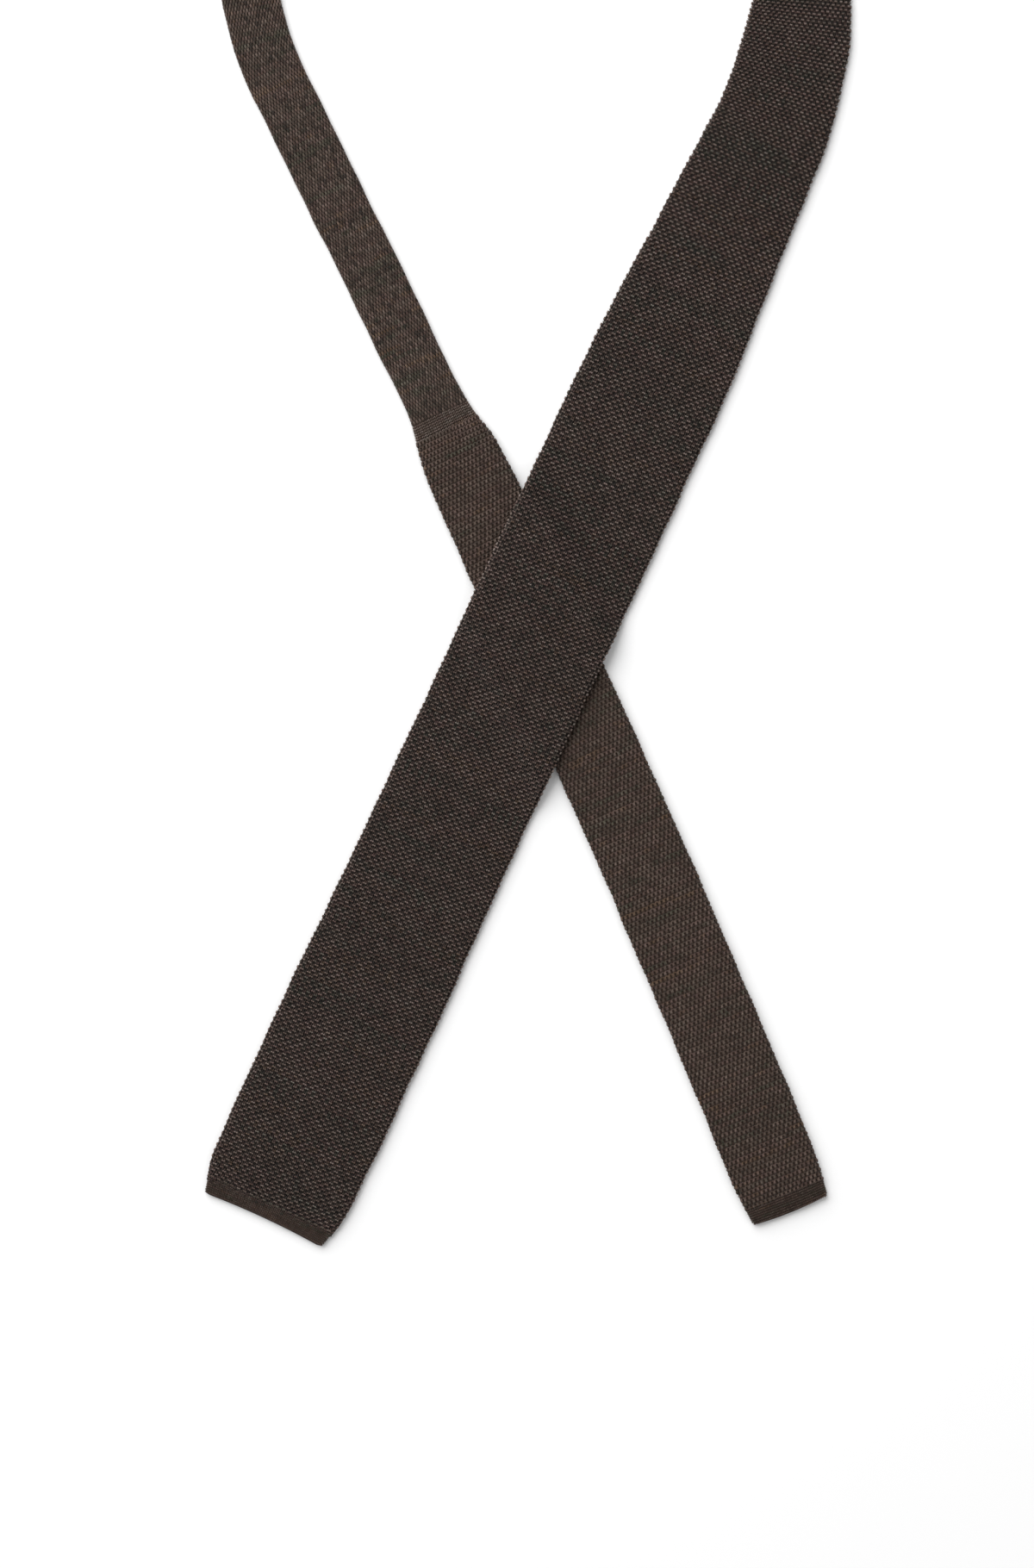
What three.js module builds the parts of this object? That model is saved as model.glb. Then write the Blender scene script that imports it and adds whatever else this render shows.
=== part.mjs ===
// A square-ended knitted necktie lying flat, its wide front blade laid across its narrow tail.
// The tie is one knitted tube pressed flat, in five stretches: front hem, front blade, neck band,
// tail blade and tail hem. Millimetres, +Z up. The tie lies on z = 0 and +Y runs towards the nape.

import * as THREE from 'three';
import { ParametricGeometry } from 'three/addons/geometries/ParametricGeometry.js';
import { mergeVertices } from 'three/addons/utils/BufferGeometryUtils.js';

// Lengths along the tie
const frontHemLength = 6.5;
const frontBladeLength = 543.5;
const neckBandLength = 557.9;
const tailBladeLength = 335.6;
const tailHemLength = 6.5;

// Widths of the flattened tube at its widest in each stretch
const frontWidth = 60.6;
const neckWidth = 23.4;
const tailWidth = 35.2;

// Thicknesses of the flattened tube, two knitted walls and the slit between them
const frontThickness = 3.2;
const neckThickness = 2.5;
const tailThickness = 3.2;
const hemThickness = 2.5;
const slitThickness = 0.5;

// How far the middle of each open end stands in (front) or out (tail) of a straight edge
const frontMouthDip = 0.9;
const tailMouthBow = 0.8;

// Clearances between the stretches end to end, and between the front blade and what it crosses
const jointGap = 0.3;
const crossingGap = 0.3;

// The route on the surface, from the front tip round the nape to the tail tip; turns to the left
const frontLean = 24.95; // degrees that the front blade leans to the right of +Y
const frontRun = 473.8;
const bendRadius = 180;
const bendTurn = 25;
const loopRadius = 111.3;
const loopTurn = 206.05;
const returnRun = 84.6;
const tailStraightening = 4; // degrees that the tail turns back to the right on its way down

// Where the front blade is lifted over the tail
const drapeMargin = 3; // full height is kept this far outside the tail's edge
const drapeRun = 14; // and is lost over this much further

// Facets
const longestStep = 30;
const crossingStep = 6;
const bendSag = 0.2; // how far a facet may stand off a bend of the route
const crossingSpans = 10; // spans across the front blade, which bends over the tail
const foldSegments = 4; // round each folded edge

const degree = Math.PI / 180;
const totalLength = frontHemLength + frontBladeLength + neckBandLength + tailBladeLength
  + tailHemLength;

// Rows run from the end nearer the front tip. at: share of the stretch's length.
// width and thickness: shares of that stretch's named width and thickness.
const frontHemRows = [
  { at: 0, width: 0.85, thickness: 0.9 },
  { at: 0.45, width: 0.873, thickness: 1 },
  { at: 1, width: 0.903, thickness: 1 },
];
const frontBladeRows = [
  { at: 0, width: 0.905, thickness: 0.8 },
  { at: 0.005, width: 0.935, thickness: 0.9 },
  { at: 0.013, width: 0.967, thickness: 1 },
  { at: 0.024, width: 0.982, thickness: 1 },
  { at: 0.074, width: 1, thickness: 1 },
  { at: 0.172, width: 1, thickness: 1 },
  { at: 0.25, width: 0.978, thickness: 1 },
  { at: 0.33, width: 0.97, thickness: 1 },
  { at: 0.6, width: 0.966, thickness: 1 },
  { at: 0.68, width: 0.956, thickness: 1 },
  { at: 0.72, width: 0.93, thickness: 1 },
  { at: 0.76, width: 0.88, thickness: 1 },
  { at: 0.95, width: 0.7, thickness: 1 },
  { at: 0.975, width: 0.64, thickness: 0.92 },
  { at: 1, width: 0.5, thickness: 0.8 },
];
const neckBandRows = [
  { at: 0, width: 1.28, thickness: 1 },
  { at: 0.012, width: 1.12, thickness: 1 },
  { at: 0.03, width: 1.01, thickness: 1 },
  { at: 0.06, width: 0.985, thickness: 1 },
  { at: 0.3, width: 1, thickness: 1 },
  { at: 0.93, width: 1, thickness: 1 },
  { at: 0.965, width: 0.98, thickness: 1 },
  { at: 0.985, width: 1.015, thickness: 1 },
  { at: 1, width: 1.13, thickness: 1 },
];
const tailBladeRows = [
  { at: 0, width: 0.755, thickness: 0.8 },
  { at: 0.02, width: 0.85, thickness: 0.92 },
  { at: 0.036, width: 0.9, thickness: 1 },
  { at: 0.085, width: 0.942, thickness: 1 },
  { at: 0.4, width: 0.98, thickness: 1 },
  { at: 0.88, width: 1, thickness: 1 },
  { at: 0.97, width: 1, thickness: 1 },
  { at: 0.99, width: 0.965, thickness: 0.92 },
  { at: 1, width: 0.945, thickness: 0.8 },
];
const tailHemRows = [
  { at: 0, width: 0.943, thickness: 1 },
  { at: 0.55, width: 0.935, thickness: 1 },
  { at: 1, width: 0.91, thickness: 0.9 },
];

// Each stretch starts where the last one ends, with half the clearance left out on each side.
// spans: across the top and the underside. drapes: it is lifted by what it lies across.
const stretches = [
  { name: 'front_hem', length: frontHemLength, width: frontWidth, thickness: hemThickness,
    rows: frontHemRows, spans: crossingSpans, startBow: -frontMouthDip, drapes: true,
    colour: 0x382f2c },
  { name: 'front_blade', length: frontBladeLength, width: frontWidth,
    thickness: frontThickness, rows: frontBladeRows, spans: crossingSpans, drapes: true,
    colour: 0x3d3432 },
  { name: 'neck_band', length: neckBandLength, width: neckWidth, thickness: neckThickness,
    rows: neckBandRows, spans: 1, colour: 0x423935 },
  { name: 'tail_blade', length: tailBladeLength, width: tailWidth, thickness: tailThickness,
    rows: tailBladeRows, spans: 1, colour: 0x3f3632 },
  { name: 'tail_hem', length: tailHemLength, width: tailWidth, thickness: hemThickness,
    rows: tailHemRows, spans: crossingSpans, endBow: tailMouthBow, colour: 0x3a302c },
];
let reached = 0;
for (const stretch of stretches) {
  stretch.from = reached;
  reached += stretch.length;
  stretch.to = reached;
  stretch.clearFrom = stretch.from + (stretch.from > 0 ? jointGap / 2 : 0);
  stretch.clearTo = stretch.to - (stretch === stretches[stretches.length - 1] ? 0 : jointGap / 2);
}

const bendLength = bendRadius * bendTurn * degree;
const loopLength = loopRadius * loopTurn * degree;
const legs = [
  { length: frontRun, turn: 0 },
  { length: bendLength, turn: bendTurn },
  { length: loopLength, turn: loopTurn },
  { length: returnRun, turn: 0 },
  { length: totalLength - frontRun - bendLength - loopLength - returnRun,
    turn: -tailStraightening },
];
const napeAt = frontRun + bendLength + loopLength / 2;

// The point and heading at a distance along the route; each leg is a line or an arc
function routeAt(distance) {
  let x = 0;
  let y = 0;
  let heading = (90 - frontLean) * degree;
  let curvature = 0;
  let left = distance;
  for (const leg of legs) {
    const run = leg === legs[legs.length - 1] ? left : Math.min(left, leg.length);
    if (run < 0) break;
    const turn = leg.turn * degree * run / leg.length;
    const chord = Math.abs(turn) > 1e-9 ? run * Math.sin(turn / 2) / (turn / 2) : run;
    x += chord * Math.cos(heading + turn / 2);
    y += chord * Math.sin(heading + turn / 2);
    heading += turn;
    curvature = leg.turn * degree / leg.length;
    left -= run;
    if (left <= 0) break;
  }
  return { x, y, heading, curvature };
}

// One column of a stretch's rows, read between them at a share of its length
function rowValue(rows, share, column) {
  const next = Math.max(1, rows.findIndex((row) => row.at >= share - 1e-9));
  const low = rows[next - 1];
  const high = rows[next];
  const t = THREE.MathUtils.clamp((share - low.at) / (high.at - low.at), 0, 1);
  return THREE.MathUtils.lerp(low[column], high[column], t);
}

function sectionAt(stretch, distance) {
  const share = (distance - stretch.from) / stretch.length;
  return {
    half: stretch.width * rowValue(stretch.rows, share, 'width') / 2,
    thickness: stretch.thickness * rowValue(stretch.rows, share, 'thickness'),
  };
}

// Points down the middle of the band that the front blade lies on: the neck band from the nape
// on, and the tail
const underStep = 4;
const underPoints = [];
for (let s = napeAt; s <= totalLength; s += underStep) {
  const stretch = stretches.find((piece) => s <= piece.to) ?? stretches[stretches.length - 1];
  underPoints.push({ ...routeAt(s), ...sectionAt(stretch, s) });
}

// How high the front blade is held at a point of the plan by what passes under it
function liftAt(x, y) {
  let lift = 0;
  for (const under of underPoints) {
    const outside = Math.hypot(x - under.x, y - under.y) - under.half - drapeMargin;
    const held = 1 - THREE.MathUtils.smoothstep(outside, 0, drapeRun);
    lift = Math.max(lift, held * (under.thickness + crossingGap));
  }
  return lift;
}

// The distances at which a stretch has a ring of points: its rows, and between them steps that
// are short enough for the bends and for the crossing
function ringDistances(stretch) {
  const marks = stretch.rows.map((row) => stretch.from + row.at * stretch.length);
  marks[0] = stretch.clearFrom;
  marks[marks.length - 1] = stretch.clearTo;
  const distances = [marks[0]];
  for (let i = 1; i < marks.length; i += 1) {
    const start = marks[i - 1];
    const length = marks[i] - start;
    const coarse = Math.ceil(length / longestStep);
    for (let j = 0; j < coarse; j += 1) {
      const from = start + length * j / coarse;
      const to = start + length * (j + 1) / coarse;
      const step = stepNear(stretch, from, to);
      const fine = Math.ceil((to - from) / step - 1e-9);
      for (let k = 1; k <= fine; k += 1) distances.push(from + (to - from) * k / fine);
    }
  }
  return distances;
}

function stepNear(stretch, from, to) {
  let step = longestStep;
  for (const distance of [from, (from + to) / 2, to]) {
    const place = routeAt(distance);
    const bend = Math.abs(place.curvature);
    if (bend > 0) step = Math.min(step, Math.sqrt(8 * bendSag / bend));
    if (!stretch.drapes) continue;
    const { half } = sectionAt(stretch, distance);
    for (const across of [-1, 0, 1]) {
      const x = place.x + across * half * Math.sin(place.heading);
      const y = place.y - across * half * Math.cos(place.heading);
      if (liftAt(x, y) > 0) step = Math.min(step, crossingStep);
    }
  }
  return step;
}

// Stops round the flattened tube: along the top, round one fold, back underneath, round the other
function sectionStops(spans) {
  const stops = [];
  for (let i = 0; i <= spans; i += 1) stops.push({ across: 2 * i / spans - 1, angle: 90 });
  for (let i = 1; i < foldSegments; i += 1) {
    stops.push({ across: 1, angle: 90 - 180 * i / foldSegments });
  }
  for (let i = 0; i <= spans; i += 1) stops.push({ across: 1 - 2 * i / spans, angle: -90 });
  for (let i = 1; i < foldSegments; i += 1) {
    stops.push({ across: -1, angle: -90 - 180 * i / foldSegments });
  }
  return stops;
}

// A stretch's open ends may be bowed: the middle of the edge stands out past its corners
function bowAt(stretch, index, count, across) {
  const rounding = 1 - across * across;
  if (index === 0) return -(stretch.startBow ?? 0) * rounding;
  if (index === count - 1) return (stretch.endBow ?? 0) * rounding;
  return 0;
}

// The wall of a stretch as one closed skin: up the outside, over the far mouth, back down the
// inside of the slit and over the near mouth
function stretchGeometry(stretch) {
  const rings = ringDistances(stretch);
  const stops = sectionStops(stretch.spans);
  const around = 2 * rings.length;
  const skin = (u, v, target) => {
    const stop = stops[Math.round(u * stops.length) % stops.length];
    const level = Math.round(v * around) % around;
    const outside = level < rings.length;
    const index = outside ? level : around - 1 - level;
    const { half, thickness } = sectionAt(stretch, rings[index]);
    const distance = rings[index] + bowAt(stretch, index, rings.length, stop.across);
    const place = routeAt(distance);
    const round = (outside ? thickness : slitThickness) / 2;
    const offset = stop.across * (half - thickness / 2) + round * Math.cos(stop.angle * degree);
    const x = place.x + offset * Math.sin(place.heading);
    const y = place.y - offset * Math.cos(place.heading);
    const lift = stretch.drapes ? liftAt(x, y) : 0;
    target.set(x, y, lift + thickness / 2 + round * Math.sin(stop.angle * degree));
  };
  const geometry = new ParametricGeometry(skin, stops.length, around);
  geometry.deleteAttribute('normal');
  geometry.deleteAttribute('uv');
  return mergeVertices(geometry, 1e-4);
}

const knitRoughness = 0.95;
const tie = new THREE.Group();
for (const stretch of stretches) {
  const material = new THREE.MeshStandardMaterial({
    color: stretch.colour, roughness: knitRoughness, metalness: 0,
  });
  const mesh = new THREE.Mesh(stretchGeometry(stretch), material);
  mesh.geometry.computeVertexNormals();
  mesh.name = stretch.name;
  tie.add(mesh);
}

// The origin is under the middle of the whole tie
const extent = new THREE.Box3().setFromObject(tie);
const middle = extent.getCenter(new THREE.Vector3());
tie.position.set(-middle.x, -middle.y, -extent.min.z);

export default tie;
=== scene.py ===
import math

import bpy
import numpy as np
from mathutils import Matrix, Vector


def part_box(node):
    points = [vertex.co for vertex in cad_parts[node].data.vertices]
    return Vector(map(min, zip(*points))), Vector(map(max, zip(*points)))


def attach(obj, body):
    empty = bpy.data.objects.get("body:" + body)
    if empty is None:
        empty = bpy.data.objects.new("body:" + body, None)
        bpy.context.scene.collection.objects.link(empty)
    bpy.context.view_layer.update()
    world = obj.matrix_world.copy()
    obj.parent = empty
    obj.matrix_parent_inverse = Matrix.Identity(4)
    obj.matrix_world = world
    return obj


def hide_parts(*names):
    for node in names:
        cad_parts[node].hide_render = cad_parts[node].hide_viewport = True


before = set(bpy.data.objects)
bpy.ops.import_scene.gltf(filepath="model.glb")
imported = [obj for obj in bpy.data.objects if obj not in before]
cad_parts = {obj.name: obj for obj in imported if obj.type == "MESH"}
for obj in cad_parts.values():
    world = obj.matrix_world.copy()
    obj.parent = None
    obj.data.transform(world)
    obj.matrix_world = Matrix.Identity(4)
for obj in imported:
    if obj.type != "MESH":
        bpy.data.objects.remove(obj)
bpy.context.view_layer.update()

# Front blade. The real piece is a wide seamless tube of openwork knit in a dark brown heather
# yarn, pressed flat and laid across the tail. Its loops stand in staggered rows of little Vs
# with a dark hole under each, and the edges are the tube's own folds.

MM = 0.001

# Lengths of the five stretches of the tie, from the front tip to the tail tip, in millimetres
FRONT_HEM_LENGTH = 6.5
FRONT_BLADE_LENGTH = 543.5
NECK_BAND_LENGTH = 557.9
TAIL_BLADE_LENGTH = 335.6
TAIL_HEM_LENGTH = 6.5
BLADE_START = FRONT_HEM_LENGTH
BAND_START = BLADE_START + FRONT_BLADE_LENGTH
TAIL_START = BAND_START + NECK_BAND_LENGTH
TAIL_HEM_START = TAIL_START + TAIL_BLADE_LENGTH
TIE_LENGTH = TAIL_HEM_START + TAIL_HEM_LENGTH

# The cloths of two stretches nearly meet. The solids keep 0.3 mm, which would let light through.
JOINT_GAP = 0.05

# Widest width and full thickness of each stretch, and the slit between its two walls
FRONT_WIDTH, NECK_WIDTH, TAIL_WIDTH = 60.6, 23.4, 35.2
FRONT_THICKNESS, NECK_THICKNESS, TAIL_THICKNESS, HEM_THICKNESS = 3.2, 2.5, 3.2, 2.5
SLIT = 0.5

# Share of a stretch's length, then its width and thickness there as shares of the named ones
STRETCHES = [
    (0.0, FRONT_HEM_LENGTH, FRONT_WIDTH, HEM_THICKNESS,
     [(0, 0.85, 0.9), (0.45, 0.873, 1), (1, 0.903, 1)]),
    (BLADE_START, FRONT_BLADE_LENGTH, FRONT_WIDTH, FRONT_THICKNESS,
     [(0, 0.905, 0.8), (0.005, 0.935, 0.9), (0.013, 0.967, 1), (0.024, 0.982, 1),
      (0.074, 1, 1), (0.172, 1, 1), (0.25, 0.978, 1), (0.33, 0.97, 1), (0.6, 0.966, 1),
      (0.68, 0.956, 1), (0.72, 0.93, 1), (0.76, 0.88, 1), (0.95, 0.7, 1),
      (0.975, 0.64, 0.92), (1, 0.5, 0.8)]),
    (BAND_START, NECK_BAND_LENGTH, NECK_WIDTH, NECK_THICKNESS,
     [(0, 1.28, 1), (0.012, 1.12, 1), (0.03, 1.01, 1), (0.06, 0.985, 1), (0.3, 1, 1),
      (0.93, 1, 1), (0.965, 0.98, 1), (0.985, 1.015, 1), (1, 1.13, 1)]),
    (TAIL_START, TAIL_BLADE_LENGTH, TAIL_WIDTH, TAIL_THICKNESS,
     [(0, 0.755, 0.8), (0.02, 0.85, 0.92), (0.036, 0.9, 1), (0.085, 0.942, 1),
      (0.4, 0.98, 1), (0.88, 1, 1), (0.97, 1, 1), (0.99, 0.965, 0.92), (1, 0.945, 0.8)]),
    (TAIL_HEM_START, TAIL_HEM_LENGTH, TAIL_WIDTH, HEM_THICKNESS,
     [(0, 0.943, 1), (0.55, 0.935, 1), (1, 0.91, 0.9)]),
]

# The line on which the tie lies: lengths, and turns to the left in degrees
FRONT_LEAN = 24.95
FRONT_RUN = 473.8
BEND_RADIUS, BEND_TURN = 180, 25
LOOP_RADIUS, LOOP_TURN = 111.3, 206.05
RETURN_RUN = 84.6
TAIL_STRAIGHTENING = 4
bend_length = BEND_RADIUS * math.radians(BEND_TURN)
loop_length = LOOP_RADIUS * math.radians(LOOP_TURN)
LEGS = [(FRONT_RUN, 0), (bend_length, BEND_TURN), (loop_length, LOOP_TURN), (RETURN_RUN, 0)]
LEGS.append((TIE_LENGTH - sum(length for length, _ in LEGS), -TAIL_STRAIGHTENING))
nape_at = FRONT_RUN + bend_length + loop_length / 2

# How the open ends are bowed, how far their corners are rounded, how uneven the edges are
FRONT_MOUTH_DIP, TAIL_MOUTH_BOW = 0.9, 0.8
CORNER_RADIUS = 1.3
EDGE_WANDER = 0.18

# How the front blade is lifted over the tail
CROSSING_GAP, DRAPE_MARGIN, DRAPE_RUN = 0.3, 3, 14


def route(distance):
    """x, y, heading and curvature of the middle line at distances along it, in millimetres."""
    distance = np.asarray(distance, float)
    x, y = np.zeros_like(distance), np.zeros_like(distance)
    heading = np.full_like(distance, math.radians(90 - FRONT_LEAN))
    bend = np.zeros_like(distance)
    start = 0.0
    for number, (length, turn) in enumerate(LEGS):
        low = -1e9 if number == 0 else 0.0
        high = 1e9 if number == len(LEGS) - 1 else length
        run = np.clip(distance - start, low, high)
        angle = math.radians(turn) * run / length
        half = np.where(np.abs(angle) > 1e-9, angle / 2, 1.0)
        chord = np.where(np.abs(angle) > 1e-9, run * np.sin(half) / half, run)
        x = x + chord * np.cos(heading + angle / 2)
        y = y + chord * np.sin(heading + angle / 2)
        heading = heading + angle
        bend = np.where(distance >= start, math.radians(turn) / length, bend)
        start += length
    return x, y, heading, bend


# Lengths of the waves that make an edge uneven, and about how far their sum reaches
WAVES = (87.0, 53.0, 31.0, 19.0)
WAVES_REACH = 2.6


def wander(along, across=0.0, seed=0):
    """A smooth irregularity between about -1 and 1, in waves of 20 to 90 mm. The phases and slants
    only keep the waves from falling together."""
    total = 0
    for number, wave in enumerate(WAVES):
        phase = 1.7 * seed + 2.3 * number
        slant = 0.9 + 0.4 * number
        total = total + np.sin(2 * np.pi * along / wave + phase + across * slant)
    return total / WAVES_REACH


# Width and thickness all along the tie, read off the tables and eased over a few rows of knit.
# Two stretches share the place where they meet, so each place is moved on by a hair.
EASE_STEP, EASE_OVER = 0.5, 2.0
BELL_REACH = 4
HAIR = 1e-6
fine = np.arange(0, TIE_LENGTH + EASE_STEP, EASE_STEP)
corner = [(start + share * length, width * w, thick * t)
          for start, length, width, thick, rows in STRETCHES for share, w, t in rows]
places, widths, thicks = np.array(corner).T
places = places + np.arange(len(places)) * HAIR
reach = int(BELL_REACH * EASE_OVER / EASE_STEP)
bell = np.exp(-0.5 * (np.arange(-reach, reach + 1) * EASE_STEP / EASE_OVER) ** 2)
bell /= bell.sum()
eased = [np.convolve(np.pad(np.interp(fine, places, values), reach, "edge"), bell, "valid")
         for values in (widths, thicks)]
from_end = np.clip(np.minimum(fine, TIE_LENGTH - fine), 0, CORNER_RADIUS)
rounded_off = CORNER_RADIUS - np.sqrt(CORNER_RADIUS**2 - (CORNER_RADIUS - from_end) ** 2)
half_widths = eased[0] / 2 - rounded_off + EDGE_WANDER * wander(fine) / 2
thicknesses = eased[1]

# Places from the nape to the tail's tip, where the tie may hold its front blade up
UNDER_STEP = 4.0
under = np.arange(nape_at, TIE_LENGTH, UNDER_STEP)
under_x, under_y, _, _ = route(under)
under_half = np.interp(under, fine, half_widths)
under_thick = np.interp(under, fine, thicknesses)


def lift(x, y):
    """How high the front blade is held at a point of the plan by the band that it crosses."""
    outside = np.hypot(x[:, None] - under_x, y[:, None] - under_y) - under_half - DRAPE_MARGIN
    share = np.clip(outside / DRAPE_RUN, 0, 1)
    held = 1 - share * share * (3 - 2 * share)
    return (held * (under_thick + CROSSING_GAP)).max(1)


# The step over which the lifted blade's slope is taken
SLOPE_STEP = 0.5

def lay(distance, turn, proud=0.0):
    """Points of the flattened tube, proud of its outer surface, with their frames: across, along
    and out. turn runs from 0 at the left fold over the top to 0.5 at the right, and on below."""
    distance, turn, proud = np.broadcast_arrays(np.asarray(distance, float), turn, proud)
    half = np.interp(distance, fine, half_widths)
    thick = np.interp(distance, fine, thicknesses)
    radius = thick / 2
    core = half - radius
    girth = 4 * core + 2 * np.pi * radius
    round_it = (turn % 1) * girth
    below = round_it > girth / 2
    round_it = np.where(below, girth - round_it, round_it)
    quarter = np.pi * radius / 2
    left, right = round_it < quarter, round_it > girth / 2 - quarter
    angle = np.where(left, np.pi - round_it / radius, np.pi / 2)
    angle = np.where(right, (girth / 2 - round_it) / radius, angle)
    middle = np.where(left, -core, np.where(right, core, round_it - quarter - core))
    side = np.where(below, -1.0, 1.0)
    offset = middle + (radius + proud) * np.cos(angle)
    height = (radius + proud) * np.sin(angle) * side
    share = np.clip(offset / half, -1, 1)
    mouth = 1 - share * share
    near_tip = np.clip(1 - distance / FRONT_HEM_LENGTH, 0, 1)
    near_tail = np.clip(1 - (TIE_LENGTH - distance) / TAIL_HEM_LENGTH, 0, 1)
    moved = distance + mouth * (FRONT_MOUTH_DIP * near_tip + TAIL_MOUTH_BOW * near_tail)
    x, y, heading, bend = route(moved)
    offset = offset + EDGE_WANDER * wander(distance, seed=3)
    right_way = np.stack([np.sin(heading), -np.cos(heading), 0 * x], -1)
    ahead = np.stack([np.cos(heading), np.sin(heading), 0 * x], -1)
    up = np.array([0.0, 0.0, 1.0])
    point = np.stack([x + ORIGIN[0], y + ORIGIN[1], radius + height], -1)
    point = point + right_way * offset[..., None]
    out = right_way * np.cos(angle)[..., None] + up * (np.sin(angle) * side)[..., None]
    across = np.cross(ahead, out)
    stretched = 1 + bend * offset
    if np.max(distance) <= BAND_START + JOINT_GAP:
        flat = point.reshape(-1, 3)
        plan = (flat[:, 0] - ORIGIN[0], flat[:, 1] - ORIGIN[1])
        raised = lift(*plan)
        slope_x = (lift(plan[0] + SLOPE_STEP, plan[1]) - raised) / SLOPE_STEP
        slope_y = (lift(plan[0], plan[1] + SLOPE_STEP) - raised) / SLOPE_STEP
        slope = np.stack([slope_x, slope_y], -1).reshape(point.shape[:-1] + (2,))
        point = point + up * raised.reshape(point.shape[:-1])[..., None]
        across = across + up * (across[..., :2] * slope).sum(-1)[..., None]
        ahead = ahead + up * (ahead[..., :2] * slope).sum(-1)[..., None]
        across /= np.linalg.norm(across, axis=-1, keepdims=True)
        ahead /= np.linalg.norm(ahead, axis=-1, keepdims=True)
        out = np.cross(across, ahead)
        ahead = np.cross(out, across)
    return point, across, ahead, out, girth, stretched


# The tie lies where the frame's neck band lies
ORIGIN = np.zeros(2)
band = np.arange(BAND_START, TAIL_START, EASE_STEP)
outline = lay(np.repeat(band, 2), np.tile([0.0, 0.5], len(band)))[0]
low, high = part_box("neck_band")
ORIGIN = (np.array(low[:2]) + np.array(high[:2])) / 2 / MM
ORIGIN = ORIGIN - (outline[:, :2].min(0) + outline[:, :2].max(0)) / 2


def add_node(tree, kind, inputs=None, **settings):
    """A node with its settings, and its inputs: a value, or a socket to link from."""
    node = tree.nodes.new(kind)
    for name, value in settings.items():
        setattr(node, name, value)
    for key, value in (inputs or {}).items():
        if isinstance(value, bpy.types.NodeSocket):
            tree.links.new(value, node.inputs[key])
        else:
            node.inputs[key].default_value = value
    return node


def linear(hex_colour):
    """Linear colour from an sRGB hex value."""
    parts = [int(hex_colour[i:i + 2], 16) / 255 for i in (1, 3, 5)]
    return [c / 12.92 if c <= 0.04045 else ((c + 0.055) / 1.055) ** 2.4 for c in parts] + [1.0]


# Heather yarn: fibres of several dyed browns blended before spinning, so the colour drifts from
# olive to burgundy along the yarn and no two stitches are quite alike. It is matt and a little
# fuzzy, with a faint sheen at grazing angles. Real ply and fibres are too fine to show from the
# photograph's distance, so both are drawn coarser than real.
HEATHER_PATCH = 3.5
PLY_PITCH = 0.55
FIBRE = 0.25

# A wave texture's slanting bands repeat every WAVE_REPEAT / Scale along the yarn
WAVE_REPEAT = 0.628

# The tones are spread over the middle of the blend's range, from its low end on
BLEND_LOW, BLEND_SPAN = 0.3, 0.4
HEATHER_TONES = ["#565042", "#604d41", "#6c564a", "#6c4f48", "#6e5440"]
GOLDEN_TONES = ["#58513e", "#604d40", "#6b5648", "#6b5047", "#73573f"]
# The neutral grey of the painted sheen on the yarn's brighter parts
SHEEN_GREY = "#665f5b"


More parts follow.
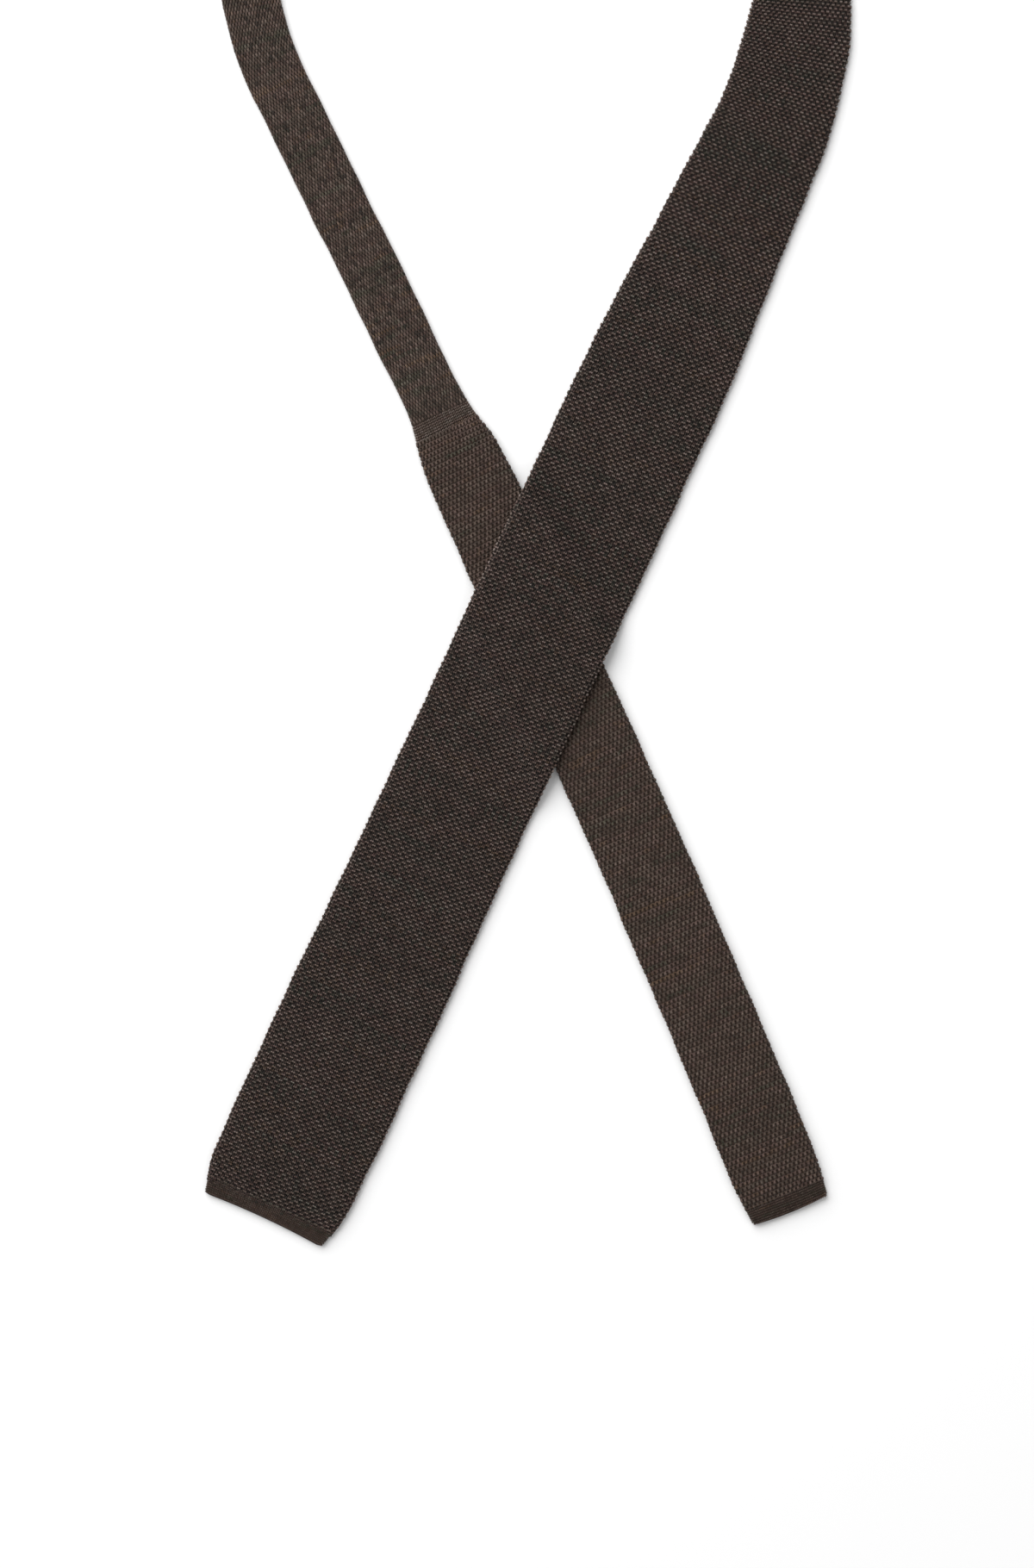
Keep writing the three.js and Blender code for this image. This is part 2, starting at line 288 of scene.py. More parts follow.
def heather_yarn(name, tones, darkest, lightest, shade_in_the_holes):
    """Yarn that takes its drift of colour from the stitches' heather and its value from their
    shade, with the ply's twist and loose fibres in the bump. Its colour is darkened where a ring of
    the stitch lies low, as painted shade down in the holes, and its brighter parts are mixed
    towards a neutral grey, as a painted sheen."""
    material = bpy.data.materials.new(name)
    material.use_nodes = True
    tree = material.node_tree
    tree.nodes.clear()
    place = add_node(tree, "ShaderNodeTexCoord").outputs["Object"]
    yarn = add_node(tree, "ShaderNodeUVMap", uv_map="yarn").outputs["UV"]
    drift = add_node(tree, "ShaderNodeAttribute", attribute_name="heather").outputs["Fac"]
    shade = add_node(tree, "ShaderNodeAttribute", attribute_name="shade").outputs["Fac"]
    raised = add_node(tree, "ShaderNodeAttribute", attribute_name="raised").outputs["Fac"]
    patches = add_node(tree, "ShaderNodeTexNoise", {
        "Vector": place, "Scale": 1 / (HEATHER_PATCH * MM), "Detail": 2.0}).outputs["Fac"]
    blend = add_node(tree, "ShaderNodeMix", {
        "Factor": 0.5, "A": patches, "B": drift}).outputs["Result"]
    ramp = add_node(tree, "ShaderNodeValToRGB", {"Fac": blend})
    stops = ramp.color_ramp.elements
    for number, tone in enumerate(tones):
        at = BLEND_LOW + BLEND_SPAN * number / (len(tones) - 1)
        stop = stops[number] if number < 2 else stops.new(at)
        stop.position = at
        stop.color = linear(tone)
    value = add_node(tree, "ShaderNodeMapRange", {
        "Value": shade, "To Min": darkest, "To Max": lightest}).outputs["Result"]
    twist = add_node(tree, "ShaderNodeTexWave", {
        "Vector": yarn, "Scale": WAVE_REPEAT / PLY_PITCH, "Distortion": 0.6, "Detail": 1.0},
        bands_direction="DIAGONAL").outputs["Fac"]
    fibres = add_node(tree, "ShaderNodeTexNoise", {
        "Vector": place, "Scale": 1 / (FIBRE * MM), "Detail": 1.0}).outputs["Fac"]
    ply = add_node(tree, "ShaderNodeMapRange", {
        "Value": twist, "To Min": 0.88, "To Max": 1.06}).outputs["Result"]
    fibre_value = add_node(tree, "ShaderNodeMapRange", {
        "Value": fibres, "To Min": 0.7, "To Max": 1.3}).outputs["Result"]
    both = add_node(tree, "ShaderNodeMath", {0: value, 1: ply}, operation="MULTIPLY").outputs[0]
    all_three = add_node(tree, "ShaderNodeMath", {
        0: both, 1: fibre_value}, operation="MULTIPLY").outputs[0]
    # Painted shade: the yarn is darkened where its ring lies low in the stitch, down towards the
    # holes
    painted_hole_shade = add_node(tree, "ShaderNodeMapRange", {
        "Value": raised, "From Min": 0.5, "To Min": shade_in_the_holes, "To Max": 1.0}).outputs["Result"]
    level = add_node(tree, "ShaderNodeMath", {
        0: all_three, 1: painted_hole_shade}, operation="MULTIPLY").outputs[0]
    # Painted sheen: the brighter the yarn, the more its colour is mixed towards a neutral grey
    sheen_share = add_node(tree, "ShaderNodeMapRange", {
        "Value": level, "From Min": 0.25, "From Max": 1.4, "To Max": 0.85}).outputs["Result"]
    sheened = add_node(tree, "ShaderNodeMix", {
        6: ramp.outputs["Color"], 7: linear(SHEEN_GREY), "Factor": sheen_share},
        data_type="RGBA").outputs[2]
    colour = add_node(tree, "ShaderNodeVectorMath", {
        0: sheened, "Scale": level}, operation="SCALE").outputs["Vector"]
    rough = add_node(tree, "ShaderNodeMapRange", {
        "Value": fibres, "To Min": 0.82, "To Max": 0.96}).outputs["Result"]
    relief = add_node(tree, "ShaderNodeMath", {0: twist, 1: fibres}, operation="ADD").outputs[0]
    bump = add_node(tree, "ShaderNodeBump", {
        "Height": relief, "Strength": 0.6, "Distance": 0.05 * MM}).outputs["Normal"]
    surface = add_node(tree, "ShaderNodeBsdfPrincipled", {
        "Base Color": colour, "Roughness": rough, "Normal": bump, "Specular IOR Level": 0.25,
        "Sheen Weight": 0.10, "Sheen Roughness": 0.5}).outputs["BSDF"]
    add_node(tree, "ShaderNodeOutputMaterial", {"Surface": surface})
    return material


def shaded_backing_cloth(name, darker_shaded, lighter_shaded):
    """The ground of the knit between the raised loops: the same yarn, seen down in the holes. Its
    colours are far darker than the loops' as painted shade.
    """
    material = bpy.data.materials.new(name)
    material.use_nodes = True
    tree = material.node_tree
    tree.nodes.clear()
    place = add_node(tree, "ShaderNodeTexCoord").outputs["Object"]
    patches = add_node(tree, "ShaderNodeTexNoise", {
        "Vector": place, "Scale": 1 / (HEATHER_PATCH * MM), "Detail": 2.0}).outputs["Fac"]
    loops = add_node(tree, "ShaderNodeTexNoise", {
        "Vector": place, "Scale": 1 / (2 * FIBRE * MM), "Detail": 2.0}).outputs["Fac"]
    colour = add_node(tree, "ShaderNodeMix", {
        6: linear(darker_shaded), 7: linear(lighter_shaded), "Factor": patches},
        data_type="RGBA").outputs[2]
    bump = add_node(tree, "ShaderNodeBump", {
        "Height": loops, "Strength": 0.8, "Distance": 0.15 * MM}).outputs["Normal"]
    surface = add_node(tree, "ShaderNodeBsdfPrincipled", {
        "Base Color": colour, "Normal": bump, "Roughness": 0.92, "Specular IOR Level": 0.2,
        "Sheen Weight": 0.05}).outputs["BSDF"]
    add_node(tree, "ShaderNodeOutputMaterial", {"Surface": surface})
    return material


def new_piece(name, mesh, material):
    """An object in the scene that wears one material."""
    piece = bpy.data.objects.new(name, mesh)
    mesh.materials.clear()
    mesh.materials.append(material)
    bpy.context.scene.collection.objects.link(piece)
    return piece


# The backing cloth lies under the loops by their height, and its open ends are rounded lips
LOOP_HEIGHT = 0.6
CLOTH_STEP = 4.5
FOLD_SPANS = 6
LIP = [(0.0, -0.30), (0.12, -0.12), (0.35, 0.0)]


def turns_round(distance, over_face):
    """Turns of a ring's points: each fold has its own, and each face so many spans."""
    radius = np.interp(distance, fine, thicknesses) / 2
    core = np.interp(distance, fine, half_widths) - radius
    fold = np.pi * radius / 2 / (4 * core + 2 * np.pi * radius)
    round_fold = np.linspace(-fold, fold, FOLD_SPANS + 1)
    over_it = np.linspace(fold, 0.5 - fold, over_face + 1)[1:-1]
    half_way = np.append(round_fold, over_it)
    return np.append(half_way, half_way + 0.5)


def knitted_tube(name, start, end, recess, over_face, material):
    """The backing cloth of a stretch: a flattened tube with two walls, as one closed skin."""
    length = end - start
    sides = 2 * (FOLD_SPANS + over_face)
    body = np.linspace(LIP[-1][0], length - LIP[-1][0], max(3, int(length / CLOTH_STEP)))
    levels = LIP[:-1] + [(at, 0.0) for at in body]
    levels += [(length - at, proud) for at, proud in reversed(LIP[:-1])]
    rings = [lay(start + at, turns_round(start + at, over_face), proud - recess)[0]
             for at, proud in levels]
    for at, _ in reversed(levels):
        thick = np.interp(start + at, fine, thicknesses)
        rings.append(lay(start + at, turns_round(start + at, over_face), (SLIT - thick) / 2)[0])
    number = np.arange(len(rings) * sides).reshape(len(rings), sides)
    after, beside = np.roll(number, -1, 0), np.roll(number, -1, 1)
    faces = np.stack([number, beside, np.roll(after, -1, 1), after], -1).reshape(-1, 4)
    mesh = bpy.data.meshes.new(name)
    mesh.from_pydata((np.concatenate(rings) * MM).tolist(), [], faces.tolist())
    mesh.polygons.foreach_set("use_smooth", np.ones(len(faces), bool))
    mesh.update()
    return new_piece(name, mesh, material)


def stitch_shape(name, strands, sides):
    """One stitch as slim tubes, in millimetres: a strand is a list of rings, x, y, z and radius,
    and a ring of no radius is a tip. A flat side of each tube faces out, as an edge would look
    like a thorn at a low angle. Its map runs round and along the yarn, and raised says how high
    each ring stands beside the highest."""
    points, faces, maps, raised = [], [], [], []
    highest = max(z + radius for strand in strands for _, _, z, radius in strand)
    for strand in strands:
        path = np.array([ring[:3] for ring in strand], float)
        aim = np.gradient(path, axis=0)
        aim /= np.linalg.norm(aim, axis=1, keepdims=True)
        run = np.append(0, np.linalg.norm(np.diff(path, axis=0), axis=1).cumsum())
        thickest = max(ring[3] for ring in strand)
        rings = []
        for place, ahead, (_, _, z, radius) in zip(path, aim, strand):
            aside = np.cross(ahead, (0, 0, 1))
            aside /= np.linalg.norm(aside)
            upward = np.cross(aside, ahead)
            first = len(points)
            for k in range(sides if radius else 1):
                angle = math.pi / 2 + 2 * math.pi * (k + 0.5) / sides
                points.append(place + radius * (aside * math.cos(angle) + upward * math.sin(angle)))
                raised.append(max(0.0, (z + radius) / highest))
            rings.append([first + (k if radius else 0) for k in range(sides)])
        for i in range(len(rings) - 1):
            for k in range(sides):
                round_it = [(i, k), (i + 1, k), (i + 1, k + 1), (i, k + 1)]
                face = {}
                for ring, step in round_it:
                    turned = 2 * math.pi * thickest * step / sides
                    face.setdefault(rings[ring][step % sides], (turned, run[ring]))
                faces.append(list(face))
                maps += face.values()
        for ring, at in ((rings[0], run[0]), (rings[-1][::-1], run[-1])):
            if len(set(ring)) > 2:
                faces.append(ring)
                maps += [(0.0, at)] * sides
    mesh = bpy.data.meshes.new(name)
    mesh.from_pydata((np.array(points) * MM).tolist(), [], faces)
    layer = mesh.uv_layers.new(name="yarn")
    layer.uv.foreach_set("vector", np.array(maps, np.float32).ravel())
    mesh.attributes.new("raised", "FLOAT", "POINT").data.foreach_set("value", raised)
    mesh.polygons.foreach_set("use_smooth", np.ones(len(faces), bool))
    mesh.update()
    return bpy.data.objects.new(name, mesh)


def mirrored(strand):
    """A strand and its mirror image on the other side of the stitch."""
    return [strand, [(-x, y, z, radius) for x, y, z, radius in strand]]


# Geometry Nodes put one stitch on each place of the lattice, turned with the cloth and a little
# uneven, as hand-fed yarn is
knitting = bpy.data.node_groups.new("knit stitches", "GeometryNodeTree")
INPUTS = {}
for socket_name, kind in [
        ("Geometry", "NodeSocketGeometry"), ("Stitch", "NodeSocketObject"),
        ("Yarn", "NodeSocketMaterial"), ("Tilt", "NodeSocketFloat"),
        ("Uneven size", "NodeSocketFloat"), ("Seed", "NodeSocketInt")]:
    socket = knitting.interface.new_socket(name=socket_name, in_out="INPUT", socket_type=kind)
    INPUTS[socket_name] = socket.identifier
knitting.interface.new_socket(name="Knit", in_out="OUTPUT", socket_type="NodeSocketGeometry")
asked = add_node(knitting, "NodeGroupInput").outputs
stitch = add_node(knitting, "GeometryNodeObjectInfo", {"Object": asked["Stitch"]})
turn = add_node(knitting, "GeometryNodeInputNamedAttribute", {"Name": "turn"},
                data_type="QUATERNION").outputs["Attribute"]
spread = add_node(knitting, "GeometryNodeInputNamedAttribute", {"Name": "spread"},
                  data_type="FLOAT_VECTOR").outputs["Attribute"]
least_tilt = add_node(knitting, "ShaderNodeMath", {0: asked["Tilt"], 1: -1.0},
                      operation="MULTIPLY").outputs[0]
tilt = add_node(knitting, "FunctionNodeRandomValue", {
    0: least_tilt, 1: asked["Tilt"], "Seed": asked["Seed"]}, data_type="FLOAT_VECTOR").outputs[0]
tilted = add_node(knitting, "FunctionNodeRotateRotation", {
    0: turn, 1: add_node(knitting, "FunctionNodeEulerToRotation", {0: tilt}).outputs[0]},
    rotation_space="LOCAL").outputs[0]
least_size = add_node(knitting, "ShaderNodeMath", {0: 1.0, 1: asked["Uneven size"]},
                      operation="SUBTRACT").outputs[0]
most_size = add_node(knitting, "ShaderNodeMath", {0: 1.0, 1: asked["Uneven size"]},
                     operation="ADD").outputs[0]
size = add_node(knitting, "FunctionNodeRandomValue", {
    0: least_size, 1: most_size, "Seed": asked["Seed"]}, data_type="FLOAT_VECTOR").outputs[0]
sized = add_node(knitting, "ShaderNodeVectorMath", {0: spread, 1: size},
                 operation="MULTIPLY").outputs[0]
instances = add_node(knitting, "GeometryNodeInstanceOnPoints", {
    "Points": asked["Geometry"], "Instance": stitch.outputs["Geometry"],
    "Rotation": tilted, "Scale": sized}).outputs["Instances"]
realised = add_node(knitting, "GeometryNodeRealizeInstances", {0: instances}).outputs[0]
dressed = add_node(knitting, "GeometryNodeSetMaterial", {
    "Geometry": realised, "Material": asked["Yarn"]}).outputs[0]
add_node(knitting, "NodeGroupOutput", {0: dressed})

# Where the first row lies and how much room the last one needs, as shares of a row's height.
# ROW_WANDER is in millimetres, and ROW_SLANT shifts its wave on the way round the tube.
FIRST_ROW, LAST_ROOM = 0.8, 0.35
ROW_WANDER, ROW_SLANT = 0.12, 6.3

# The heather drifts over some stitches, the shade changes with each one, and both also drift
# every few rows. The spreads say how far.
DRIFT_REACH = 12
DRIFT_OVER = 3.5
DRIFT_ROWS = 3
HEATHER_SPREAD, SHADE_SPREAD, ROW_SPREAD = 0.17, 0.25, 0.05
drift_bell = np.exp(-0.5 * (np.arange(-DRIFT_REACH, DRIFT_REACH + 1) / DRIFT_OVER) ** 2)


def lattice(start, end, rows, wales, staggered=True, seed=0):
    """Every stitch of a stretch: its distance and turn, its row's height and the colour of its
    yarn. rows gives the height of a row at distances along the tie."""
    at, heights = zip(*rows)
    distances = [start + np.interp(start, at, heights) * FIRST_ROW]
    while distances[-1] < end:
        distances.append(distances[-1] + np.interp(distances[-1], at, heights))
    if end - distances[-2] < LAST_ROOM * heights[-1]:
        distances.pop()
    distances = np.array(distances[:-1])
    count = len(distances) * wales
    row = np.repeat(np.arange(len(distances)), wales)
    turn = (np.tile(np.arange(wales), len(distances)) + (row % 2 if staggered else 0) / 2) / wales
    random = np.random.default_rng(seed)
    drift = random.normal(size=count + 2 * DRIFT_REACH)
    drift = np.convolve(drift, drift_bell, "valid")
    marks = np.arange(0, len(distances) + 2 * DRIFT_ROWS, DRIFT_ROWS)
    row_drift = np.interp(row, marks, random.normal(size=len(marks)))
    heather = np.clip(0.5 + HEATHER_SPREAD * drift / drift.std() + ROW_SPREAD * row_drift, 0, 1)
    shade = np.clip(0.5 + SHADE_SPREAD * random.normal(size=count) + ROW_SPREAD * row_drift, 0, 1)
    wave = wander(distances[row], ROW_SLANT * turn, seed=seed + 5)
    distance = distances[row] + ROW_WANDER * wave
    return {"distance": distance, "turn": turn % 1, "height": np.interp(distance, at, heights),
            "heather": heather, "shade": shade}


# The folds. The first pair is in stitches away from one: those bent over it stand out, and those
# of the rows between dip. The fold stitches are also given a little painted light, so that a fold
# turned away from the key light shows no dark line.
ON_FOLD, BY_FOLD = 0.25, 0.75
FOLD_BULGE, FOLD_DIP = 0.12, 0.4
FOLD_PAINTED_LIGHT = 0.1


def from_fold(spots, wales):
    """How many stitches away the nearer fold is."""
    return np.abs((2 * spots["turn"] + 0.5) % 1 - 0.5) * wales / 2


def scalloped(spots, wales):
    """How far stitches stand out: those bent over a fold do, and those of the rows between dip."""
    away = from_fold(spots, wales)
    return np.where(away < ON_FOLD, FOLD_BULGE, np.where(away < BY_FOLD, -FOLD_DIP, 0.0))


# How far a stitch leans at most, in radians, and the share by which its size varies
TILT, UNEVEN = 0.10, 0.10


def knit(name, spots, chosen, stitch, wide, tall, wales, yarn, recess):
    """The chosen stitches of a lattice as one mesh: wide and tall are the stitch's own pitches."""
    spots = {key: values[chosen] for key, values in spots.items()}
    proud = spots.get("proud", 0.0) - recess
    point, across, along, out, girth, stretched = lay(spots["distance"], spots["turn"], proud)
    frames = np.stack([across, along, out], -1)
    turns = [Matrix(axes).to_quaternion() for axes in frames]
    spread = np.stack([girth / wales / wide, spots["height"] * stretched / tall,
                       np.ones_like(girth)], -1)
    mesh = bpy.data.meshes.new(name + "_places")
    mesh.from_pydata((point * MM).tolist(), [], [])
    mesh.attributes.new("turn", "QUATERNION", "POINT").data.foreach_set(
        "value", np.array(turns, np.float32).ravel())
    mesh.attributes.new("spread", "FLOAT_VECTOR", "POINT").data.foreach_set(
        "vector", spread.astype(np.float32).ravel())
    for key in ("heather", "shade"):
        mesh.attributes.new(key, "FLOAT", "POINT").data.foreach_set(
            "value", spots[key].astype(np.float32))
    spotted = bpy.data.objects.new(name + "_places", mesh)
    bpy.context.scene.collection.objects.link(spotted)
    modifier = spotted.modifiers.new("knit", "NODES")
    modifier.node_group = knitting
    modifier[INPUTS["Stitch"]] = stitch
    modifier[INPUTS["Yarn"]] = yarn
    modifier[INPUTS["Tilt"]] = TILT
    modifier[INPUTS["Uneven size"]] = UNEVEN
    modifier[INPUTS["Seed"]] = len(name)
    graph = bpy.context.evaluated_depsgraph_get()
    made = bpy.data.meshes.new_from_object(spotted.evaluated_get(graph))
    spotted.modifiers.remove(modifier)
    bpy.data.objects.remove(spotted)
    made.name = name
    piece = new_piece(name, made, yarn)
    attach(piece, "root")
    return piece


# How far the top's loops run on below the folds, as a share of a turn
BELOW_FOLD = 0.02


def on_top(spots):
    """The stitches that show from above, those on the folds among them."""
    return (spots["turn"] <= 0.5 + BELOW_FOLD) | (spots["turn"] >= 1 - BELOW_FOLD)


# The wide knit's stitch: two legs, two rows long, that close over a hole into a pair of nubs. On
# the folds it is rounder, as it is seen from the side, and underneath it is one plain spindle.
WIDE_WALES = 40
WIDE_PITCH, WIDE_ROW = 3.1, 1.335
wide_stitch = stitch_shape("wide_stitch", mirrored([
    (0.40, -2.40, 0.15, 0.41), (0.38, -1.62, 0.20, 0.41), (0.42, -0.78, -0.03, 0.22),
    (0.39, 0.02, 0.52, 0.53), (0.38, 0.68, 0.05, 0)]), 3)
fold_stitch = stitch_shape("fold_stitch", mirrored([
    (0.42, -2.20, -0.10, 0.28), (0.42, -1.40, -0.10, 0.30), (0.42, -0.75, -0.08, 0.28),
    (0.40, -0.25, 0.24, 0.44), (0.40, 0.30, 0.22, 0.44), (0.38, 0.75, -0.05, 0)]), 6)
wide_back = stitch_shape("wide_back", [[
    (0, -1.60, 0.05, 0), (0, -0.1, 0.05, 0.55), (0, 1.20, 0.05, 0)]], 4)

FRONT_SPANS = 20
front_yarn = heather_yarn("heather wool, openwork", HEATHER_TONES, 0.66, 1.51, 0.11)
# The ground's near-black colours are painted shade down in the holes
front_shaded_ground = shaded_backing_cloth("heather wool in painted shade, ground of the openwork", "#140c09", "#1d130f")
front_cloth = knitted_tube("front_cloth", BLADE_START, BAND_START - JOINT_GAP, LOOP_HEIGHT,
                           FRONT_SPANS, front_shaded_ground)

# Height of a row at distances along the tie: the rows are closer towards the tip
front_rows = [(BLADE_START, 1.25), (200, 1.27), (300, 1.335), (430, 1.41), (BAND_START, 1.41)]
front_spots = lattice(BLADE_START, BAND_START, front_rows, WIDE_WALES, seed=11)
front_top = on_top(front_spots)
front_half = front_spots["distance"] < (BLADE_START + BAND_START) / 2
on_fold = from_fold(front_spots, WIDE_WALES) < ON_FOLD
front_spots["proud"] = scalloped(front_spots, WIDE_WALES)
# Painted highlight: the shade of the fold stitches is raised, so the folds come out lighter
front_spots["shade"] = np.where(on_fold, front_spots["shade"] + FOLD_PAINTED_LIGHT, front_spots["shade"])
front_loops = [
    knit("front_loops_low", front_spots, front_top & front_half & ~on_fold, wide_stitch,
         WIDE_PITCH, WIDE_ROW, WIDE_WALES, front_yarn, LOOP_HEIGHT),
    knit("front_loops_high", front_spots, front_top & ~front_half & ~on_fold, wide_stitch,
         WIDE_PITCH, WIDE_ROW, WIDE_WALES, front_yarn, LOOP_HEIGHT),
    knit("front_loops_folded", front_spots, on_fold, fold_stitch, WIDE_PITCH, WIDE_ROW,
         WIDE_WALES, front_yarn, LOOP_HEIGHT),
    knit("front_loops_under", front_spots, ~front_top, wide_back, WIDE_PITCH, WIDE_ROW,
         WIDE_WALES, front_yarn, LOOP_HEIGHT),
]
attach(front_cloth, "root")
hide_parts("front_blade")

# Front hem. The real piece is a fine plain edge of tight stockinette in the same yarn, knitted on
# at the open tip of the blade, where it draws the tube in and stops it from unravelling. The
# loops run on over a joint by OVERLAP, so that no bare cloth shows.
HEM_WALES = 80
HEM_PITCH, HEM_ROW = 1.35, 0.9
HEM_HEIGHT = 0.3
HEM_SPANS = 12
OVERLAP = 1.0
plain_stitch = stitch_shape("plain_stitch", mirrored([
    (0.06, -0.50, 0.02, 0), (0.33, 0.05, 0.12, 0.27), (0.52, 0.62, 0.02, 0)]), 4)
hem_yarn = heather_yarn("heather wool, plain edge", GOLDEN_TONES, 0.42, 0.98, 0.6)
# The ground's dark colours are painted shade under the stitches
hem_shaded_ground = shaded_backing_cloth("heather wool in painted shade, ground of the edge", "#221813", "#2d211b")
front_hem = knitted_tube("front_hem_cloth", 0, BLADE_START - JOINT_GAP, HEM_HEIGHT, HEM_SPANS,
                         hem_shaded_ground)
front_hem_spots = lattice(0, BLADE_START + OVERLAP, [(0, HEM_ROW)], HEM_WALES, staggered=False,
                          seed=12)
front_hem_loops = knit("front_hem_loops", front_hem_spots,
                       np.ones(len(front_hem_spots["turn"]), bool), plain_stitch, HEM_PITCH,
                       HEM_ROW, HEM_WALES, hem_yarn, HEM_HEIGHT)
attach(front_hem, "root")
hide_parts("front_hem")

# Neck band. The real piece is the same tube and yarn, knitted much narrower and tighter, in
# staggered upright loops, and it goes round under the collar as a plain curve. A few plain rows
# end it, and overlap the loops on both sides.
NECK_PITCH, NECK_ROW = 1.2, 1.466
neck_stitch = stitch_shape("neck_stitch", [[
    (0, -1.15, 0.05, 0.26), (0, -0.42, 0.28, 0.42), (0, 0.35, 0.30, 0.44),
    (0, 1.05, 0.06, 0.26)]], 3)
neck_back = stitch_shape("neck_back", [[
    (0, -1.1, 0.05, 0), (0, 0, 0.18, 0.44), (0, 1.1, 0.05, 0)]], 4)
JOIN_LENGTH, JOIN_ROW = 6.0, 1.0
JOIN_BEFORE, JOIN_BEYOND = 0.5, 1.5
NECK_HEIGHT = 0.5
SLIM_SPANS = 6
neck_yarn = heather_yarn("heather wool, tight band", GOLDEN_TONES, 0.18, 0.92, 0.60)
join_yarn = heather_yarn("heather wool, plain rows", GOLDEN_TONES, 0.73, 1.54, 0.6)
# The ground's dark colours are painted shade between the loops
neck_shaded_ground = shaded_backing_cloth("heather wool in painted shade, ground of the band", "#382c26", "#43372f")
neck_cloth = knitted_tube("neck_cloth", BAND_START, TAIL_START - JOINT_GAP, NECK_HEIGHT,
                          SLIM_SPANS, neck_shaded_ground)
neck_spots = lattice(BAND_START, TAIL_START - JOIN_LENGTH, [(BAND_START, NECK_ROW)],
                     WIDE_WALES, seed=13)
neck_top = on_top(neck_spots)
join_spots = lattice(TAIL_START - JOIN_LENGTH - JOIN_BEFORE, TAIL_START + JOIN_BEYOND,
                     [(TAIL_START, JOIN_ROW)], WIDE_WALES, staggered=False, seed=14)
neck_loops = [
    knit("neck_loops", neck_spots, neck_top, neck_stitch, NECK_PITCH, NECK_ROW, WIDE_WALES,
         neck_yarn, NECK_HEIGHT),
    knit("neck_loops_under", neck_spots, ~neck_top, neck_back, NECK_PITCH, NECK_ROW, WIDE_WALES,
         neck_yarn, NECK_HEIGHT),
    knit("neck_join_rows", join_spots, np.ones(len(join_spots["turn"]), bool), plain_stitch,
         HEM_PITCH, HEM_ROW, WIDE_WALES, join_yarn, HEM_HEIGHT),
]
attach(neck_cloth, "root")
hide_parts("neck_band")

# Tail blade. The real piece is a narrower tube of the same yarn in a lace of arches, pressed
# flat, that runs down from the band and lies under the front blade. The arches' shared feet
# catch the light.
TAIL_PITCH, TAIL_ROW = 1.85, 1.915
tail_stitch = stitch_shape("tail_stitch", [[
    (-0.86, 1.00, 0.12, 0.36), (-0.88, 0.22, 0.42, 0.54), (-0.62, -0.50, 0.24, 0.42),
    (0, -0.84, 0.20, 0.42), (0.62, -0.50, 0.24, 0.42), (0.88, 0.22, 0.42, 0.54),
    (0.86, 1.00, 0.12, 0.36)]], 3)
tail_back = stitch_shape("tail_back", [[
    (-0.95, -0.5, 0.05, 0), (0, 0.3, 0.20, 0.55), (0.95, -0.5, 0.05, 0)]], 4)
tail_yarn = heather_yarn("heather wool, arched lace", GOLDEN_TONES, 0.44, 0.97, 0.38)
# The ground's dark colours are painted shade in the lace's holes
tail_shaded_ground = shaded_backing_cloth("heather wool in painted shade, ground of the lace", "#362a23", "#42352d")
tail_cloth = knitted_tube("tail_cloth", TAIL_START, TAIL_HEM_START - JOINT_GAP, LOOP_HEIGHT,
                          SLIM_SPANS, tail_shaded_ground)
tail_spots = lattice(TAIL_START, TAIL_HEM_START + OVERLAP, [(TAIL_START, TAIL_ROW)], WIDE_WALES,
                     seed=15)
tail_top = on_top(tail_spots)
tail_spots["proud"] = scalloped(tail_spots, WIDE_WALES)
tail_loops = [
    knit("tail_loops", tail_spots, tail_top, tail_stitch, TAIL_PITCH, TAIL_ROW, WIDE_WALES,
         tail_yarn, LOOP_HEIGHT),
    knit("tail_loops_under", tail_spots, ~tail_top, tail_back, TAIL_PITCH, TAIL_ROW, WIDE_WALES,
         tail_yarn, LOOP_HEIGHT),
]
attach(tail_cloth, "root")
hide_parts("tail_blade")

# Tail hem. The real piece is the same fine plain edge as the front's, in the same yarn, knitted
# on at the open narrow end, which it stops from unravelling.
tail_hem = knitted_tube("tail_hem_cloth", TAIL_HEM_START, TIE_LENGTH, HEM_HEIGHT, HEM_SPANS,
                        hem_shaded_ground)
tail_hem_spots = lattice(TAIL_HEM_START - OVERLAP, TIE_LENGTH, [(TIE_LENGTH, HEM_ROW)],
                         HEM_WALES, staggered=False, seed=16)
tail_hem_loops = knit("tail_hem_loops", tail_hem_spots,
                      np.ones(len(tail_hem_spots["turn"]), bool), plain_stitch, HEM_PITCH,
                      HEM_ROW, HEM_WALES, hem_yarn, HEM_HEIGHT)
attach(tail_hem, "root")
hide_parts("tail_hem")

for template in (wide_stitch, fold_stitch, wide_back, plain_stitch, neck_stitch, neck_back,
                 tail_stitch, tail_back):
    bpy.data.objects.remove(template)

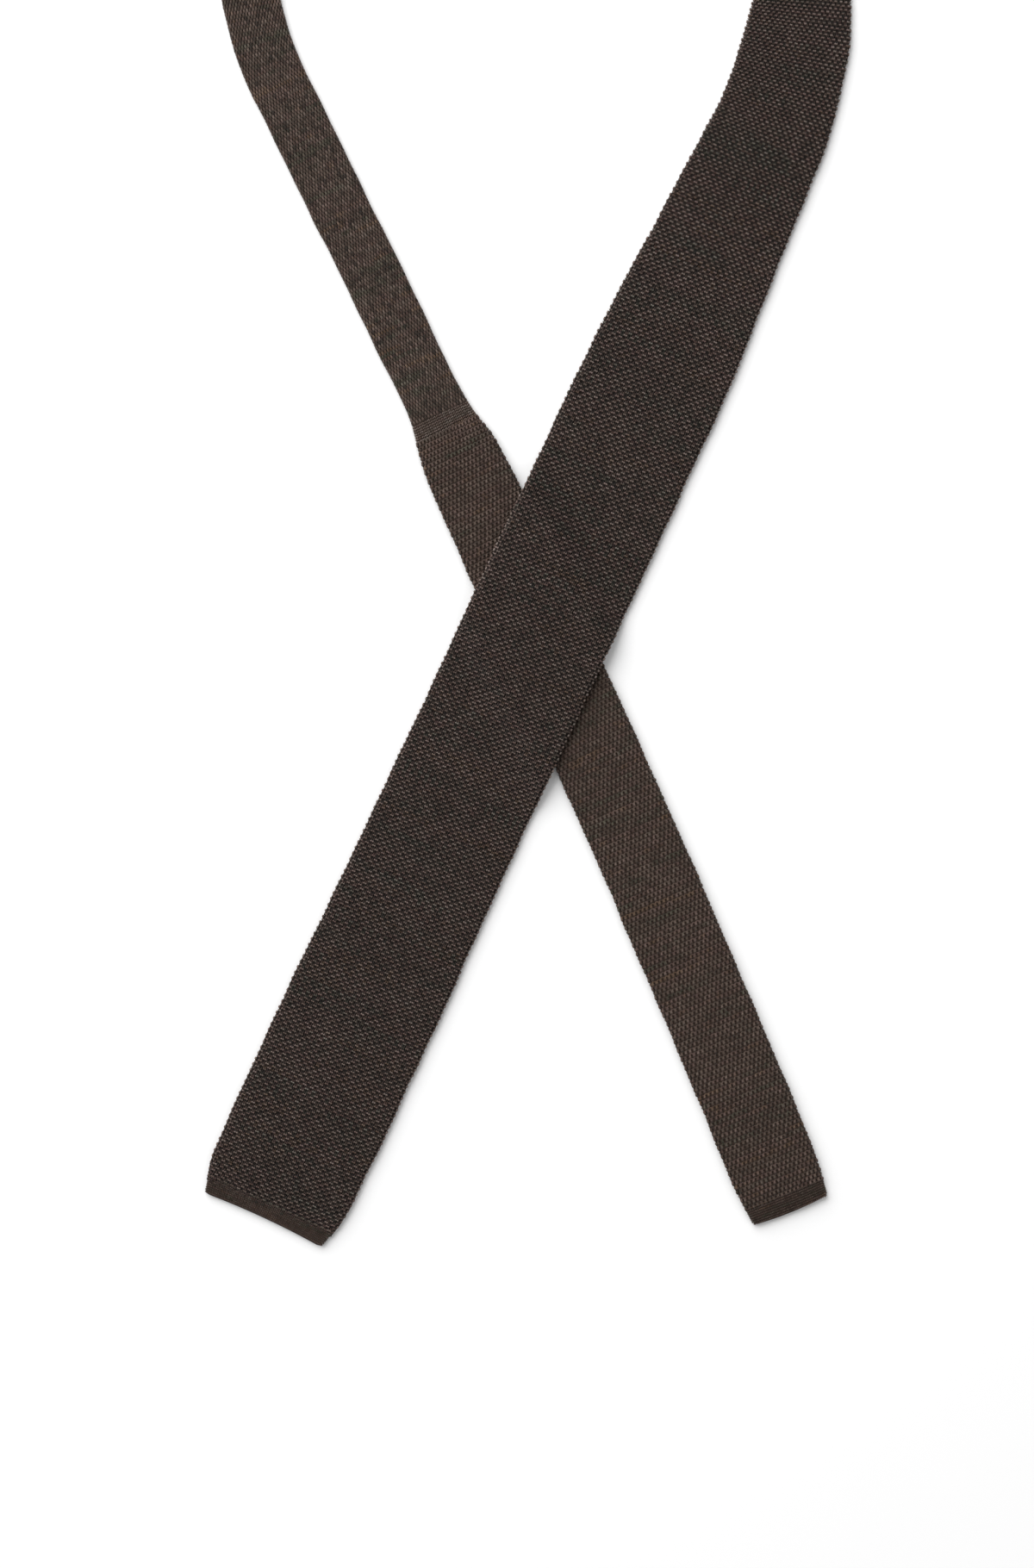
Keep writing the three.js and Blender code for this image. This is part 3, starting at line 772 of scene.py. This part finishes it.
# Floor, light and camera. The tie lies on a plain white table under a large soft light from
# the upper left, with a weak one opposite, and the camera looks straight down at it.
FLOOR_SIZE = 6.0
half_floor = FLOOR_SIZE / 2
floor_mesh = bpy.data.meshes.new("floor")
floor_mesh.from_pydata([(-half_floor, -half_floor, 0), (half_floor, -half_floor, 0),
                        (half_floor, half_floor, 0), (-half_floor, half_floor, 0)],
                       [], [(0, 1, 2, 3)])
floor_paint = bpy.data.materials.new("matt white paint")
floor_paint.use_nodes = True
paint = floor_paint.node_tree.nodes["Principled BSDF"]
paint.inputs["Base Color"].default_value = linear("#fafafa")
paint.inputs["Roughness"].default_value = 0.9
paint.inputs["Specular IOR Level"].default_value = 0.1
floor = new_piece("floor", floor_mesh, floor_paint)

WORLD_STRENGTH = 0.38
KEY_AT, KEY_SIZE, KEY_POWER = (-1.22, 1.41, 1.05), 3.8, 124.0
FILL_AT, FILL_SIZE, FILL_POWER = (1.40, -1.20, 1.00), 2.4, 8.0
world = bpy.data.worlds.new("white studio")
world.use_nodes = True
world.node_tree.nodes["Background"].inputs["Color"].default_value = (1, 1, 1, 1)
world.node_tree.nodes["Background"].inputs["Strength"].default_value = WORLD_STRENGTH
scene = bpy.context.scene
scene.world = world
scene.view_settings.view_transform = "Standard"

# The photograph's middle and height on the table, in metres
VIEW_MIDDLE = (-0.0044, -0.1346, 0.0)
VIEW_HEIGHT = 0.6279
LENS, SENSOR = 100.0, 36.0
camera_data = bpy.data.cameras.new("camera")
camera_data.lens = LENS
camera_data.sensor_width = SENSOR
camera = bpy.data.objects.new("camera", camera_data)
camera.location = (VIEW_MIDDLE[0], VIEW_MIDDLE[1], VIEW_HEIGHT * LENS / SENSOR)
scene.collection.objects.link(camera)
scene.camera = camera


def soft_light(name, at, size, power):
    """A round softbox that looks at the tie."""
    data = bpy.data.lights.new(name, "AREA")
    data.shape = "DISK"
    data.size = size
    data.energy = power
    light = bpy.data.objects.new(name, data)
    light.location = at
    light.rotation_euler = (Vector(VIEW_MIDDLE) - Vector(at)).to_track_quat("-Z", "Y").to_euler()
    light.visible_camera = False
    scene.collection.objects.link(light)


soft_light("soft key", KEY_AT, KEY_SIZE, KEY_POWER)
soft_light("weak fill", FILL_AT, FILL_SIZE, FILL_POWER)
